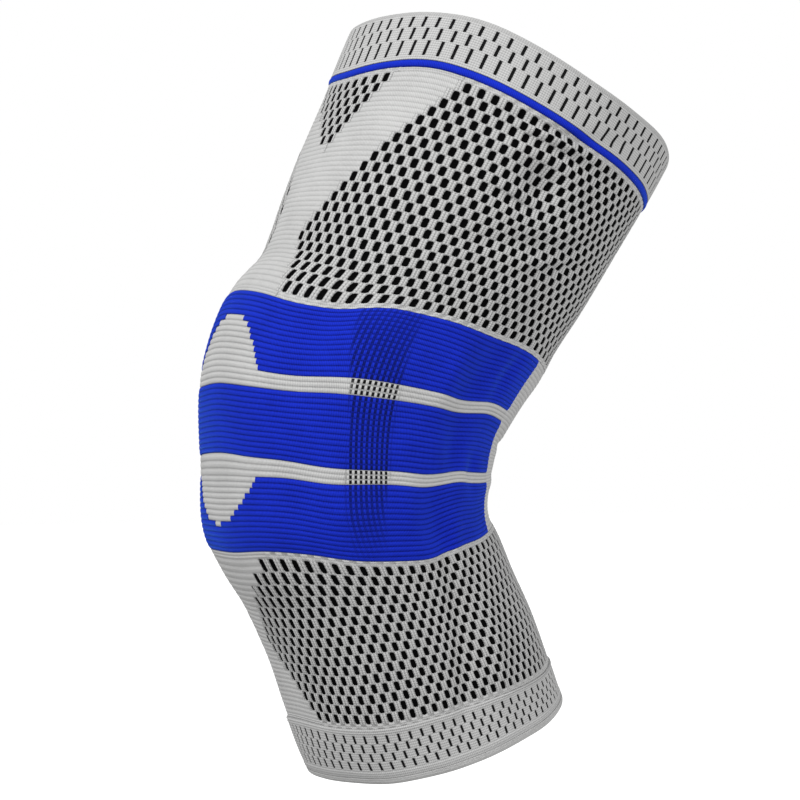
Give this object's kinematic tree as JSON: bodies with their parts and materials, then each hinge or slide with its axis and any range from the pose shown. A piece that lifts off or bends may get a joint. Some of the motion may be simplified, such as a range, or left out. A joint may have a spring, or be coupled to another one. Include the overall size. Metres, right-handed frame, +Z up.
{
  "type": "knee sleeve",
  "caption": "Knitted knee sleeve in the form of a bent leg: mesh zones, raised bands and domed dividers over the kneecap, doubled cuffs, open through.",
  "frame": {"origin": "centre of the wearer's knee, on the leg's axis through the hollow", "axes": "+Z up as worn on a standing, slightly bent leg; the kneecap faces -Y; +X is the leg's one side, and the form is the same on both"},
  "size_m": [0.1368, 0.2092, 0.315],
  "materials": {
    "pale_knit": "matte pale grey ribbed knit",
    "mesh_knit": "pale grey open checked knit with black cells",
    "cuff_knit": "doubled pale grey knit with short black upright stitches",
    "blue_knit": "dense royal blue ribbed knit with a soft sheen"
  },
  "bodies": {
    "root": {"top_cuff": "cuff_knit", "top_stripe": "blue_knit", "thigh_front_panel": "pale_knit", "thigh_inset": "mesh_knit", "thigh_mesh": "mesh_knit", "knee_band_upper": "blue_knit", "knee_divider_upper": "pale_knit", "knee_band_middle": "blue_knit", "knee_divider_lower": "pale_knit", "knee_band_lower": "blue_knit", "back_panel": "pale_knit", "calf_front_panel": "pale_knit", "calf_mesh": "mesh_knit", "bottom_cuff": "cuff_knit", "bottom_hem": "cuff_knit"}
  },
  "joints": []
}
